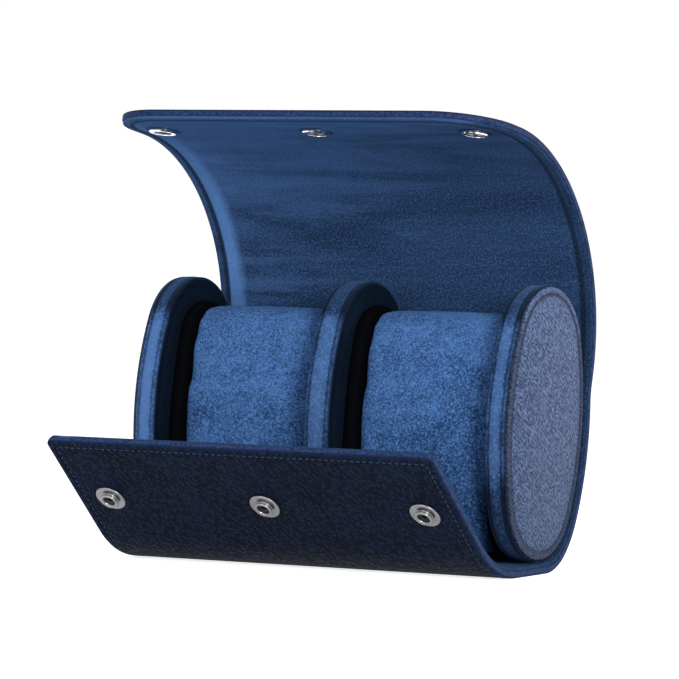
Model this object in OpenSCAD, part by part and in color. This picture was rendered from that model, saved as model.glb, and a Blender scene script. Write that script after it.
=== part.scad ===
// Travel case for two watches: a leather wrap closes round three oval
// panels that stand on end, with a lift-out cushion in each compartment.
// X runs along the case, -Y is the front, +Z is up, z = 0 is the table.

/* [Wrap] */
// Length of the wrap from side edge to side edge
wrap_length = 161; // [130:1:220]
// Thickness of the outer leather
leather_t = 1.2; // [0.9:0.1:1.6]
// Thickness of the stiffening board
board_t = 1.2; // [0.8:0.1:1.6]
// Thickness of the suede lining
lining_t = 1.1; // [0.8:0.1:1.4]
// Width of the leather turned in along the free edges
turned_edge = 4; // [2:0.5:8]
// Gap between neighbouring stiff strips, where the wrap flexes
flex_gap = 0.6; // [0.4:0.1:1]
// How far the lining stops short of the free edges
lining_setback = 0.4; // [0.2:0.1:1]

/* [Panels] */
// Half depth of an oval panel
panel_half_depth = 29; // [26:0.5:34]
// Half height of an oval panel
panel_half_height = 49.8; // [45:0.1:56]
// Radius of the panel's top and bottom ends
panel_end_r = 24.6; // [21:0.1:25.5]
// Backward lean of the panels in degrees
lean = 6.5; // [4:0.5:9]
// Thickness of an end panel from its rim's edge to its inner face
end_panel_t = 9.1; // [7:0.1:12]
// Thickness of the centre panel
centre_panel_t = 10; // [7:0.5:14]
// How far an end panel stands in from the wrap's side edge
panel_setback = 1; // [0.5:0.1:3]
// Thickness of the suede band round a panel
rim_t = 1.1; // [0.8:0.1:1.6]
// Thickness of a panel's inner facing
facing_t = 1; // [0.7:0.1:1.4]
// Width of the flat border round a facing or a leather end
border_w = 3.5; // [2.5:0.1:5]
// Height of the padded dome on an end panel
dome_h = 1.9; // [1:0.1:3]

/* [Fit of the panels in the wrap] */
// Space for the bonding between a panel's back and the lining
bond_gap = 0.3; // [0.2:0.05:0.6]
// Space below the panels' lowest point
bottom_gap = 1.3; // [1:0.1:4]

/* [Base and front flap] */
// How far the table contact reaches behind the lean's pivot
foot_back = 2.5; // [2:0.5:8]
// Depth of the base in front of the contact's rear end
base_front = 15; // [12:0.5:18]
// Flat run of the wrap in front of the contact's rear end
flap_flat = 22.5; // [20:0.5:32]
// Radius of the flap's bend at its mid-line
flap_bend_r = 37; // [20:1:44]
// Angle of the flap's bend
flap_bend_angle = 44; // [40:1:55]
// Straight length of the flap above its bend
flap_straight = 50.5; // [46:0.5:60]
// Length of the flap's flexing tip strip
flap_tip_length = 20.66; // [15:0.5:23]
// Corner radius of the flap's tip
flap_corner_r = 2.5; // [1:0.5:3.5]

/* [Lid] */
// Length of the lid beyond the bonded back
lid_length = 168; // [160:1:185]
// Length of the lid's spine strip, which hugs the panels
spine_length = 13; // [10:0.5:16]
// Backward kink above the spine when the case is open
lid_kink_angle = 15; // [8:1:20]
// Straight run above the kink
lid_straight = 7; // [4:0.5:10]
// Length of the flat tip strip that carries the sockets
lid_tip_length = 29.9; // [29.5:0.1:36]
// Angle that the lid's curve turns through
lid_curl_angle = 93.5; // [80:0.5:98]
// Corner radius of the lid's tip
lid_corner_r = 24; // [10:1:30]

/* [Cushions] */
// How far a cushion's front and back stand in from the panels' edges
cushion_setback = 10.5; // [9.5:0.5:14]
// How much smaller the radius of a cushion's top and bottom is than the panels'
cushion_end_inset = 9.1; // [8.6:0.1:11]
// How far a cushion's top lies below the panels' tops
cushion_drop = 8.5; // [7.5:0.1:14]
// How far a cushion's foot stands up from the panels' lowest point
cushion_foot = 0.1; // [0:0.1:6]
// Thickness of the end pads
pad_t = 4.5; // [3:0.5:7]
// Thickness of the cushion's suede cover
cover_t = 1.5; // [1:0.1:2.5]
// Clearance between a cushion and each panel
cushion_gap = 0.3; // [0.3:0.1:1]

/* [Snaps] */
// Distance of the outer snaps from the middle one
snap_spacing = 66; // [50:1:70]
// Distance of the studs from the flap's edge
stud_from_edge = 30.66; // [26:0.5:36]
// Distance of the sockets from the lid's edge
socket_from_edge = 23; // [16:0.5:24]
// Radius of a stud's flange
stud_flange_r = 6.2; // [5:0.1:7]
// Radius of a stud's boss
boss_r = 3.6; // [3.2:0.1:4]
// Height of a stud above the leather
stud_h = 2.2; // [1.8:0.1:2.3]
// Radius of the hole in a stud
stud_hole_r = 2.2; // [2:0.1:2.5]
// Outer radius of a socket
socket_r = 5.2; // [4.8:0.1:6]
// Height of a socket above the lining
socket_h = 1.1; // [0.8:0.1:1.1]
// Radius of a rivet's barrel
barrel_r = 1.8; // [1.5:0.1:1.8]

/* [Colours] */
leather_colour = [0.03, 0.05, 0.11];
suede_colour = [0.16, 0.27, 0.42];
board_colour = [0.45, 0.40, 0.33];
foam_colour = [0.75, 0.73, 0.66];
pad_colour = [0.03, 0.03, 0.04];
steel_colour = [0.80, 0.81, 0.83];

/* [Hidden] */
STRIPS = ["base", "spine", "lid1", "lid2", "lid3", "lid4", "lid5", "lid6", "lidtip", "flap", "flaptip"];
LAYERS = ["leather", "board", "lining"];
WRAP_NODES = [for (s = STRIPS) for (l = LAYERS) str(s, "_", l)];
END_NODES = [for (s = ["left", "right"]) for (p = ["leather", "padding", "core", "rim", "facing"])
    str(s, "_end_", p)];
CENTRE_NODES = ["centre_core", "centre_rim", "centre_left_facing", "centre_right_facing"];
CUSHION_NODES = [for (s = ["left", "right"]) for (p = ["foam", "cover", "pads"])
    str(s, "_cushion_", p)];
SNAP_NODES = ["snap_studs", "stud_posts", "snap_sockets", "socket_springs", "snap_caps"];

half_wrap = wrap_length / 2;
wrap_t = leather_t + board_t + lining_t;
rad = PI / 180;
// Offsets of the layer boundaries from the wrap's mid-line, outward positive
o_out = wrap_t / 2;
o_skin = o_out - leather_t;
o_board = o_skin - board_t;
o_in = -wrap_t / 2;

// An oval of four arcs: [half depth, half height, end radius]
panel_oval = [panel_half_depth, panel_half_height, panel_end_r];
cushion_half_height = panel_half_height - (cushion_drop + cushion_foot) / 2;
cushion_oval = [panel_half_depth - cushion_setback, cushion_half_height, panel_end_r - cushion_end_inset];
function side_r(q) = (q[0] * q[0] + (q[1] - q[2]) * (q[1] - q[2]) - q[2] * q[2]) / (2 * (q[0] - q[2]));
function side_a(q) = atan2(q[1] - q[2], side_r(q) - q[0]);
side_steps = 12;
end_steps = 22;
function arc_points(c, r, a0, a1, n) = [for (i = [0:n - 1])
    let (a = a0 + (a1 - a0) * i / n) [c[0] + r * cos(a), c[1] + r * sin(a)]];
function oval(q, inset) = let (R = side_r(q), t = side_a(q), h = q[1] - q[2], w = R - q[0])
    concat(arc_points([-w, 0], R - inset, -t, t, side_steps),
        arc_points([0, h], q[2] - inset, t, 180 - t, end_steps),
        arc_points([w, 0], R - inset, 180 - t, 180 + t, side_steps),
        arc_points([0, -h], q[2] - inset, 180 + t, 360 - t, end_steps));

// Where the ovals' frame stands: the lower end's centre is above y = 0
end_centre_z = wrap_t + bottom_gap + panel_end_r;
end_offset = panel_half_height - panel_end_r;
panel_y = end_offset * sin(lean);
panel_z = end_centre_z + end_offset * cos(lean);

// The wrap's mid-line: pieces of [length, turn in degrees]
back_r = side_r(panel_oval) + bond_gap + wrap_t / 2;
back_turn = side_a(panel_oval);
low_turn = 90 - back_turn - lean;
first_turn = low_turn * 0.66;
join_r = panel_end_r + bond_gap + wrap_t / 2;
join_y = join_r * cos(back_turn + lean) - foot_back;
join_z = end_centre_z - join_r * sin(back_turn + lean) - wrap_t / 2;
turn_det = sin(first_turn) * (cos(first_turn) - cos(low_turn))
    - (sin(low_turn) - sin(first_turn)) * (1 - cos(first_turn));
low_r = (join_y * (cos(first_turn) - cos(low_turn))
    - join_z * (sin(low_turn) - sin(first_turn))) / turn_det;
mid_r = (join_z * sin(first_turn) - join_y * (1 - cos(first_turn))) / turn_det;
low_l = low_r * first_turn * rad;
mid_l = mid_r * (low_turn - first_turn) * rad;
side_l = back_r * back_turn * rad;
back_l = low_l + mid_l + side_l;
lid_run = lid_length - spine_length - lid_tip_length;
kink_l = flex_gap / 60;
curved_l = lid_run - kink_l - lid_straight;
back_path = [[low_l, first_turn], [mid_l, low_turn - first_turn], [side_l, back_turn],
    [spine_length, spine_length / back_r / rad], [kink_l, -lid_kink_angle], [lid_straight, 0],
    [curved_l, lid_curl_angle], [lid_tip_length, 0]];
bend_l = flap_bend_r * flap_bend_angle * rad;
flap_path = [[flap_flat, 0], [bend_l, -flap_bend_angle], [flap_straight, 0]];
flap_length = flap_flat + bend_l + flap_straight;
path_start = [foot_back, wrap_t / 2];

function heading(a) = [cos(a), sin(a)];
function move(p, h, l, t) = abs(t) < 0.0001 ? p + l * heading(h)
    : p + l / (t * rad) * [sin(h + t) - sin(h), cos(h) - cos(h + t)];
// Point and heading after a distance s along a path
function walk(p, h, path, s, i = 0) = s <= path[i][0] || i == len(path) - 1
    ? let (f = s / path[i][0]) [move(p, h, s, path[i][1] * f), h + path[i][1] * f]
    : walk(move(p, h, path[i][0], path[i][1]), h + path[i][1], path, s - path[i][0], i + 1);
// Distances along the wrap are positive up the back and negative up the flap
function on_wrap(s) = s >= 0 ? walk(path_start, 0, back_path, s) : walk(path_start, 180, flap_path, -s);
function wrap_point(s, o) = let (w = on_wrap(s)) w[0] + o * heading(w[1] + (s >= 0 ? -90 : 90));

// Stations along the wrap: every end of a piece and every few degrees of a bend
arc_step = 3;
function start_of(path, i) = i == 0 ? 0 : start_of(path, i - 1) + path[i - 1][0];
function stations(path) = [for (i = [0:len(path) - 1])
    let (n = max(1, ceil(abs(path[i][1]) / arc_step)), m = path[i][0] > 1 ? n : 1)
    for (j = [0:m - 1]) start_of(path, i) + path[i][0] * j / m];
back_stations = stations(back_path);
flap_stations = stations(flap_path);
last_flap = len(flap_stations) - 1;
all_stations = concat([for (i = [0:last_flap - 1]) -flap_stations[last_flap - i]], back_stations);
station_gap = flex_gap / 6;
function run(s0, s1) = concat([s0],
    [for (s = all_stations) if (s > s0 + station_gap && s < s1 - station_gap) s], [s1]);
function band_points(s0, s1, o0, o1) = let (r = run(s0, s1), n = len(r))
    concat([for (s = r) wrap_point(s, o1)], [for (i = [1:n]) wrap_point(r[n - i], o0)]);

// Ends of the stiff strips along the wrap
half_gap = flex_gap / 2;
lid_shares = [0.166, 0.313, 0.46, 0.608, 0.768, 1];
lid_cuts = concat([back_l, back_l + spine_length],
    [for (f = lid_shares) back_l + spine_length + lid_run * f]);
tip_start = lid_cuts[len(lid_cuts) - 1] + half_gap;
lid_end = back_l + lid_length;
flap_cut = flap_length - flap_tip_length;

// A solid along X from a list of [y, z] points
module along_x(x0, x1, points) {
    translate([x0, 0, 0])
        rotate([90, 0, 90])
            linear_extrude(x1 - x0)
                polygon(points);
}

// One curved strip of leather with its turned-in side edges
module leather_strip(s0, s1) {
    inner = half_wrap - turned_edge;
    color(leather_colour)
        union() {
            along_x(-half_wrap, -inner, band_points(s0, s1, o_board, o_out));
            along_x(-inner, inner, band_points(s0, s1, o_skin, o_out));
            along_x(inner, half_wrap, band_points(s0, s1, o_board, o_out));
        }
}

module board_strip(s0, s1) {
    inner = half_wrap - turned_edge;
    color(board_colour)
        along_x(-inner, inner, band_points(s0, s1, o_board, o_skin));
}

module lining_strip(s0, s1) {
    inner = half_wrap - lining_setback;
    color(suede_colour)
        along_x(-inner, inner, band_points(s0, s1, o_in, o_board));
}

// Outline of a flat tip strip: square at the hinge, rounded at the free edge
corner_steps = 12;
inner_corner_r = 0.5;
function tip_outline(w, y1, r) = concat([[w, 0]], arc_points([w - r, y1 - r], r, 0, 90, corner_steps),
    [[w - r, y1]], arc_points([r - w, y1 - r], r, 90, 180, corner_steps), [[-w, y1 - r], [-w, 0]]);
function reversed(list) = [for (i = [len(list) - 1:-1:0]) list[i]];

// Frame on the wrap's mid-line: Y along the wrap, Z towards side (+1 is to the left of the way)
module on_path(w) {
    translate([0, w[0][0], w[0][1]])
        rotate([w[1], 0, 0])
            children();
}

module slab(z0, z1, points) {
    translate([0, 0, z0])
        linear_extrude(z1 - z0)
            polygon(points);
}

// A flat tip's leather; outside is the outer face's side of the mid-line
module tip_leather(l, r, outside) {
    outline = tip_outline(half_wrap, l, r);
    hollow = tip_outline(half_wrap - turned_edge, l - turned_edge, max(r - turned_edge, inner_corner_r));
    skin = outside > 0 ? [o_skin, o_out] : [-o_out, -o_skin];
    edge = outside > 0 ? [o_board, o_skin] : [-o_skin, -o_board];
    slab(skin[0], skin[1], outline);
    slab(edge[0], edge[1], concat(outline, reversed(hollow)));
}

module tip_board(l, r, outside) {
    outline = tip_outline(half_wrap - turned_edge, l - turned_edge, max(r - turned_edge, inner_corner_r));
    edge = outside > 0 ? [o_board, o_skin] : [-o_skin, -o_board];
    slab(edge[0], edge[1], outline);
}

module tip_lining(l, r, outside) {
    outline = tip_outline(half_wrap - lining_setback, l - lining_setback,
        max(r - lining_setback, inner_corner_r));
    edge = outside > 0 ? [o_in, o_board] : [-o_board, -o_in];
    slab(edge[0], edge[1], outline);
}

// Axes of the snaps: Z points out of the flap's leather or out of the lid's lining
module at_studs() {
    on_path(on_wrap(stud_from_edge - flap_length))
        for (x = [-snap_spacing, 0, snap_spacing])
            translate([x, 0, o_out])
                children();
}

module at_sockets() {
    on_path(on_wrap(lid_end - socket_from_edge))
        for (x = [-snap_spacing, 0, snap_spacing])
            translate([x, 0, -o_in])
                children();
}

module wrap_piece(strip, layer) {
    if (strip == "lidtip")
        lid_tip(layer);
    else if (strip == "flaptip")
        flap_tip(layer);
    else if (strip == "flap")
        flap_strip(layer);
    else
        plain_strip(strip, layer);
}

function strip_ends(strip) = strip == "base" ? [-base_front + half_gap, back_l - half_gap]
    : let (i = search([strip], STRIPS)[0]) [lid_cuts[i - 1] + half_gap, lid_cuts[i] - half_gap];

module plain_strip(strip, layer) {
    ends = strip_ends(strip);
    if (layer == "leather")
        leather_strip(ends[0], ends[1]);
    if (layer == "board")
        board_strip(ends[0], ends[1]);
    if (layer == "lining")
        lining_strip(ends[0], ends[1]);
}

pocket_gap = 0.1;
barrel_bore_r = barrel_r + pocket_gap;
post_flange_r = 4.5;
post_flange_t = 0.5;
cut_over = 1;
module flap_strip(layer) {
    s0 = -flap_cut + half_gap;
    s1 = -base_front - half_gap;
    difference() {
        if (layer == "leather")
            leather_strip(s0, s1);
        else if (layer == "board")
            board_strip(s0, s1);
        else
            lining_strip(s0, s1);
        color(steel_colour)
            at_studs()
                translate([0, 0, -wrap_t - cut_over])
                    cylinder(h = wrap_t + 2 * cut_over, r = barrel_bore_r, $fn = 48);
        if (layer == "lining")
            color(steel_colour)
                at_studs()
                    translate([0, 0, -wrap_t - cut_over])
                        cylinder(h = cut_over + post_flange_t + pocket_gap, r = post_flange_r + pocket_gap,
                            $fn = 64);
    }
}

module flap_tip(layer) {
    l = flap_tip_length - half_gap;
    on_path(on_wrap(-flap_cut - half_gap)) {
        if (layer == "leather")
            color(leather_colour)
                union()
                    tip_leather(l, flap_corner_r, 1);
        if (layer == "board")
            color(board_colour)
                tip_board(l, flap_corner_r, 1);
        if (layer == "lining")
            color(suede_colour)
                tip_lining(l, flap_corner_r, 1);
    }
}

socket_floor = 0.4;
module lid_tip(layer) {
    l = lid_end - tip_start;
    if (layer == "leather")
        color(leather_colour)
            difference() {
                on_path(on_wrap(tip_start))
                    union()
                        tip_leather(l, lid_corner_r, -1);
                socket_bores(barrel_bore_r);
            }
    if (layer == "board")
        color(board_colour)
            difference() {
                on_path(on_wrap(tip_start))
                    tip_board(l, lid_corner_r, -1);
                socket_bores(barrel_bore_r);
            }
    if (layer == "lining")
        color(suede_colour)
            difference() {
                on_path(on_wrap(tip_start))
                    tip_lining(l, lid_corner_r, -1);
                socket_bores(socket_r + pocket_gap);
            }
}

module socket_bores(r) {
    at_sockets()
        translate([0, 0, -wrap_t - cut_over])
            cylinder(h = wrap_t + 2 * cut_over, r = r, $fn = 64);
}

// Frame of the panels: Y is depth, Z is height, origin in the middle
module on_panels() {
    translate([0, panel_y, panel_z])
        rotate([-lean, 0, 0])
            children();
}

module oval_slab(x0, x1, q, inset) {
    along_x(x0, x1, oval(q, inset));
}

// A closed solid through ovals, each given as [inset, x]
oval_n = 2 * (side_steps + end_steps);
module oval_loft(q, profile) {
    m = len(profile);
    points = [for (k = profile) for (p = oval(q, k[0])) [k[1], p[0], p[1]]];
    sides = [for (k = [0:m - 2]) for (i = [0:oval_n - 1])
        let (a = k * oval_n + i, b = k * oval_n + (i + 1) % oval_n)
        for (f = [[a, a + oval_n, b + oval_n], [a, b + oval_n, b]]) f];
    first = [[for (i = [0:oval_n - 1]) i]];
    last = [[for (i = [1:oval_n]) m * oval_n - i]];
    polyhedron(points = points, faces = concat(first, sides, last));
}

end_outer_x = half_wrap - panel_setback;
end_inner_x = end_outer_x - end_panel_t;
end_skin_x = end_outer_x - leather_t;
centre_x = centre_panel_t / 2;
end_leather_inset = 0.3;
crease_depth = 0.45;
crease_w = 1;
dome_in = border_w + crease_w;
dome_shares = [[0.16, 0.42], [0.36, 0.74], [0.62, 0.93], [0.85, 1]];
dome_flat_r = 2;
dome_run = panel_end_r - dome_in - dome_flat_r;
hollow_in = dome_in + leather_t;
hollow_run = panel_end_r - hollow_in - dome_flat_r;
edge_round = 0.3;
hollow_h = dome_h;
hollow_rings = [for (d = dome_shares) [hollow_in + hollow_run * d[0], hollow_h * d[1]]];
dome_rings = [for (d = dome_shares) [dome_in + dome_run * d[0], leather_t + dome_h * d[1]]];

// Leather of an end panel: flat border, stitched crease, padded dome
module end_leather() {
    profile = concat(reversed(hollow_rings),
        [[hollow_in, 0], [end_leather_inset, 0], [end_leather_inset, leather_t - edge_round],
        [end_leather_inset + edge_round, leather_t], [border_w, leather_t],
        [border_w + crease_w / 2, leather_t - crease_depth], [dome_in, leather_t]],
        dome_rings);
    color(leather_colour)
        on_panels()
            translate([end_skin_x, 0, 0])
                oval_loft(panel_oval, profile);
}

module end_padding() {
    color(foam_colour)
        on_panels()
            translate([end_skin_x, 0, 0])
                oval_loft(panel_oval, concat([[hollow_in, 0]], hollow_rings));
}

module end_core() {
    color(board_colour)
        on_panels()
            oval_slab(end_inner_x + facing_t, end_skin_x, panel_oval, rim_t);
}

module rim_ring(x0, x1) {
    color(suede_colour)
        on_panels()
            difference() {
                oval_slab(x0, x1, panel_oval, 0);
                oval_slab(x0 - cut_over, x1 + cut_over, panel_oval, rim_t);
            }
}

// Inner facing with a pressed groove inside its border; out is the face's direction along X
groove_w = 0.9;
groove_depth = 0.35;
module facing(x0, out) {
    color(leather_colour)
        on_panels()
            difference() {
                oval_slab(min(x0, x0 + out * facing_t), max(x0, x0 + out * facing_t), panel_oval, rim_t);
                translate([out * (facing_t - groove_depth), 0, 0])
                    difference() {
                        oval_slab(min(x0, x0 + out * facing_t), max(x0, x0 + out * facing_t),
                            panel_oval, border_w);
                        oval_slab(x0 - facing_t - cut_over, x0 + facing_t + cut_over, panel_oval,
                            border_w + groove_w);
                    }
            }
}

module centre_core() {
    color(board_colour)
        on_panels()
            oval_slab(facing_t - centre_x, centre_x - facing_t, panel_oval, rim_t);
}

module end_piece(part) {
    if (part == "leather")
        end_leather();
    if (part == "padding")
        end_padding();
    if (part == "core")
        end_core();
    if (part == "rim")
        rim_ring(end_inner_x, end_skin_x);
    if (part == "facing")
        facing(end_inner_x + facing_t, -1);
}

module left_end(part) {
    mirror([1, 0, 0])
        end_piece(part);
}

// Cushions: foam in a suede sleeve between two end pads
cushion_x0 = centre_x + cushion_gap;
cushion_x1 = end_inner_x - cushion_gap;
cushion_v = panel_half_height - cushion_drop - cushion_half_height;
pad_bevel = 0.7;
module on_cushion() {
    on_panels()
        translate([0, 0, cushion_v])
            children();
}

module cushion(part) {
    if (part == "foam")
        color(foam_colour)
            on_cushion()
                oval_slab(cushion_x0 + pad_t, cushion_x1 - pad_t, cushion_oval, cover_t);
    if (part == "cover")
        color(suede_colour)
            on_cushion()
                difference() {
                    oval_slab(cushion_x0 + pad_t, cushion_x1 - pad_t, cushion_oval, 0);
                    oval_slab(cushion_x0, cushion_x1, cushion_oval, cover_t);
                }
    if (part == "pads")
        color(pad_colour)
            on_cushion()
                for (x = [cushion_x0, cushion_x1 - pad_t])
                    translate([x, 0, 0])
                        oval_loft(cushion_oval,
                            [[pad_bevel, 0], [0, pad_bevel], [0, pad_t - pad_bevel], [pad_bevel, pad_t]]);
}

module left_cushion(part) {
    mirror([1, 0, 0])
        cushion(part);
}

// A round part from its half section, given as [radius, height] points
module turned(points) {
    rotate_extrude($fn = 64)
        polygon(points);
}

flange_t = 0.6;
flange_bevel = 0.4;
boss_edge = 0.3;
boss_lip = 0.6;
boss_t = 0.65;
neck_r = boss_r - boss_lip;
boss_z = stud_h - boss_t;
module snap_studs() {
    color(steel_colour)
        at_studs()
            turned([[stud_hole_r, 0], [stud_flange_r, 0], [stud_flange_r, flange_t / 2],
                [stud_flange_r - flange_bevel, flange_t], [neck_r, flange_t], [neck_r, boss_z],
                [boss_r, boss_z], [boss_r, stud_h - boss_edge], [boss_r - boss_edge, stud_h],
                [stud_hole_r, stud_h]]);
}

// Hollow rivets that hold the studs: flange in the lining, barrel, rolled lip in the stud
barrel_t = 0.5;
lip_t = 0.3;
barrel_in_r = barrel_r - barrel_t;
module stud_posts() {
    floor_z = -wrap_t;
    lip_z = lip_t;
    color(steel_colour)
        at_studs()
            turned([[barrel_in_r, floor_z], [post_flange_r, floor_z],
                [post_flange_r, floor_z + post_flange_t], [barrel_r, floor_z + post_flange_t],
                [barrel_r, lip_z], [stud_hole_r, lip_z], [stud_hole_r, lip_z + lip_t],
                [barrel_in_r, lip_z + lip_t]]);
}

cavity_gap = 0.3;
lip_w = 0.8;
socket_bevel = 0.4;
cavity_r = boss_r + cavity_gap;
floor_z = socket_floor - lining_t;
lip_r = barrel_r + lip_w;
module snap_sockets() {
    color(steel_colour)
        at_sockets()
            turned([[barrel_r, -lining_t], [socket_r, -lining_t], [socket_r, socket_h - socket_bevel],
                [socket_r - socket_bevel, socket_h], [cavity_r, socket_h], [cavity_r, floor_z],
                [barrel_r, floor_z]]);
}

// Split spring rings that grip the studs' necks
spring_w = 0.3;
spring_top = 0.05;
spring_split = 1;
spring_r = boss_r - spring_w;
spring_z0 = socket_h - socket_bevel;
spring_z1 = socket_h - spring_top;
module socket_springs() {
    color(steel_colour)
        at_sockets()
            difference() {
                turned([[spring_r, spring_z0], [cavity_r, spring_z0], [cavity_r, spring_z1],
                    [spring_r, spring_z1]]);
                translate([0, -spring_split / 2, spring_z0 - cut_over])
                    cube([cavity_r + cut_over, spring_split, 2 * cut_over + socket_bevel]);
            }
}

// Caps on the lid's leather, riveted through the lid into the sockets
cap_r = 6.2;
cap_h = 1.4;
module snap_caps() {
    back_z = -wrap_t;
    color(steel_colour)
        at_sockets()
            turned([[0, back_z - cap_h], [cap_r * 0.45, back_z - cap_h * 0.93],
                [cap_r * 0.8, back_z - cap_h * 0.66], [cap_r, back_z - cap_h * 0.25], [cap_r, back_z],
                [barrel_r, back_z], [barrel_r, floor_z], [lip_r, floor_z], [lip_r, floor_z + lip_t],
                [barrel_in_r, floor_z + lip_t], [barrel_in_r, back_z], [0, back_z]]);
}

// Thin strips that bond the panels' backs to the lining
strip_play = 0.05;
strip_t = bond_gap - strip_play;
module bonding_strips() {
    color(foam_colour)
        for (x = [[-end_skin_x, -end_inner_x], [-centre_x, centre_x], [end_inner_x, end_skin_x]])
            along_x(x[0], x[1], band_points(low_l + mid_l, back_l - half_gap, o_in - strip_t, o_in));
}

wrap_piece("base", "leather");  // base_leather
wrap_piece("base", "board");  // base_board
wrap_piece("base", "lining");  // base_lining
wrap_piece("spine", "leather");  // spine_leather
wrap_piece("spine", "board");  // spine_board
wrap_piece("spine", "lining");  // spine_lining
wrap_piece("lid1", "leather");  // lid1_leather
wrap_piece("lid1", "board");  // lid1_board
wrap_piece("lid1", "lining");  // lid1_lining
wrap_piece("lid2", "leather");  // lid2_leather
wrap_piece("lid2", "board");  // lid2_board
wrap_piece("lid2", "lining");  // lid2_lining
wrap_piece("lid3", "leather");  // lid3_leather
wrap_piece("lid3", "board");  // lid3_board
wrap_piece("lid3", "lining");  // lid3_lining
wrap_piece("lid4", "leather");  // lid4_leather
wrap_piece("lid4", "board");  // lid4_board
wrap_piece("lid4", "lining");  // lid4_lining
wrap_piece("lid5", "leather");  // lid5_leather
wrap_piece("lid5", "board");  // lid5_board
wrap_piece("lid5", "lining");  // lid5_lining
wrap_piece("lid6", "leather");  // lid6_leather
wrap_piece("lid6", "board");  // lid6_board
wrap_piece("lid6", "lining");  // lid6_lining
wrap_piece("lidtip", "leather");  // lidtip_leather
wrap_piece("lidtip", "board");  // lidtip_board
wrap_piece("lidtip", "lining");  // lidtip_lining
wrap_piece("flap", "leather");  // flap_leather
wrap_piece("flap", "board");  // flap_board
wrap_piece("flap", "lining");  // flap_lining
wrap_piece("flaptip", "leather");  // flaptip_leather
wrap_piece("flaptip", "board");  // flaptip_board
wrap_piece("flaptip", "lining");  // flaptip_lining
left_end("leather");  // left_end_leather
left_end("padding");  // left_end_padding
left_end("core");  // left_end_core
left_end("rim");  // left_end_rim
left_end("facing");  // left_end_facing
end_piece("leather");  // right_end_leather
end_piece("padding");  // right_end_padding
end_piece("core");  // right_end_core
end_piece("rim");  // right_end_rim
end_piece("facing");  // right_end_facing
centre_core();
rim_ring(-centre_x, centre_x);  // centre_rim
facing(facing_t - centre_x, -1);  // centre_left_facing
facing(centre_x - facing_t, 1);  // centre_right_facing
left_cushion("foam");  // left_cushion_foam
left_cushion("cover");  // left_cushion_cover
left_cushion("pads");  // left_cushion_pads
cushion("foam");  // right_cushion_foam
cushion("cover");  // right_cushion_cover
cushion("pads");  // right_cushion_pads
snap_studs();
stud_posts();
snap_sockets();
socket_springs();
snap_caps();
bonding_strips();
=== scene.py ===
import math
import bmesh
import bpy
import numpy as np
from mathutils import Matrix, Vector


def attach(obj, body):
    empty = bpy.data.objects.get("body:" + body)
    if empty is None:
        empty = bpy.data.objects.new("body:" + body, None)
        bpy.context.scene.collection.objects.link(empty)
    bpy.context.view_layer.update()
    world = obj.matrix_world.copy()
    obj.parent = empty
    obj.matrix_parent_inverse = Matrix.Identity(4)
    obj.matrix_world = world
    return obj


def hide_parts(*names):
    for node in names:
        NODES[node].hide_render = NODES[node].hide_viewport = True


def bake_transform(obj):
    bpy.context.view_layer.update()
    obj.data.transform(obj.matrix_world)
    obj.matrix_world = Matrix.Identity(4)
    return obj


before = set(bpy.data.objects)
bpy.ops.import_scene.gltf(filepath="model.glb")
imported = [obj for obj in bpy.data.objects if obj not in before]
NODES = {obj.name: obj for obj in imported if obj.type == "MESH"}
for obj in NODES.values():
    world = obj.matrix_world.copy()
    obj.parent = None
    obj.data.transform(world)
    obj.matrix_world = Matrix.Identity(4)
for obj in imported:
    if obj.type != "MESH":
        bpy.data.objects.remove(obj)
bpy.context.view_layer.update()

# ------------------------------------------- sizes of the solids, in mm and radians
MM = 0.001
# The wrap: half its width, and offsets of its layers from the middle line, outward positive
WRAP_HALF = 80.5
WRAP_T = 3.5
O_OUT = 1.75
O_BOARD = -0.65
O_IN = -1.75
# A four-arc oval is (half width, half height, radius of its ends)
PANEL = (29.0, 49.8, 24.6)
CUSHION = (18.5, 45.5, 15.5)
LEAN = math.radians(6.5)
BOND = 0.3
BOTTOM_GAP = 1.3
FOOT_BACK = 2.5
# The lid: a spine, a soft kink, a straight run, the curl and a straight tip
LID_LENGTH = 168.0
SPINE = 13.0
KINK = math.radians(-15.0)
KINK_HALF = 3.0
LID_FOOT = 7.0
LID_CURL = math.radians(93.5)
LID_TIP = 29.9
LID_CORNER = 24.0
# The front flap: a straight run, a bend, and a straight tip
FLAP_FOOT = 22.5
FLAP_BEND = math.radians(44.0)
FLAP_BEND_R = 37.0
FLAP_TIP = 50.5
FLAP_CORNER = 2.5
# Snaps: sockets up the lid, studs in from the flap's edge, and their places across
SOCKET_S = 145.0
STUD_FROM_EDGE = 30.66
SNAP_X = 66.0
# Places across: the end panels' inner face and leather, the centre panel's faces, cushions
END_INNER_X = 70.4
END_SKIN_X = 78.3
CENTRE_X = 5.0
CUSHION_X = (5.3, 70.1)
CUSHION_V = -4.2
PAD_T = 4.5


# ------------------------------------------------------------ the wrap's path
def side_r(q):
    """Radius of an oval's long sides."""
    return (q[0] ** 2 + (q[1] - q[2]) ** 2 - q[2] ** 2) / (2 * (q[0] - q[2]))


def side_a(q):
    """Half the angle that a long side of an oval spans."""
    return math.atan2(q[1] - q[2], side_r(q) - q[0])


# Share of the foot's turn that its first arc takes
FIRST_SHARE = 0.66
# The centre of the panels' lower ends, and of the panels
END_Z = WRAP_T + BOTTOM_GAP + PANEL[2]
END_OFF = PANEL[1] - PANEL[2]
PANEL_Y = END_OFF * math.sin(LEAN)
PANEL_Z = END_Z + END_OFF * math.cos(LEAN)


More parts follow.
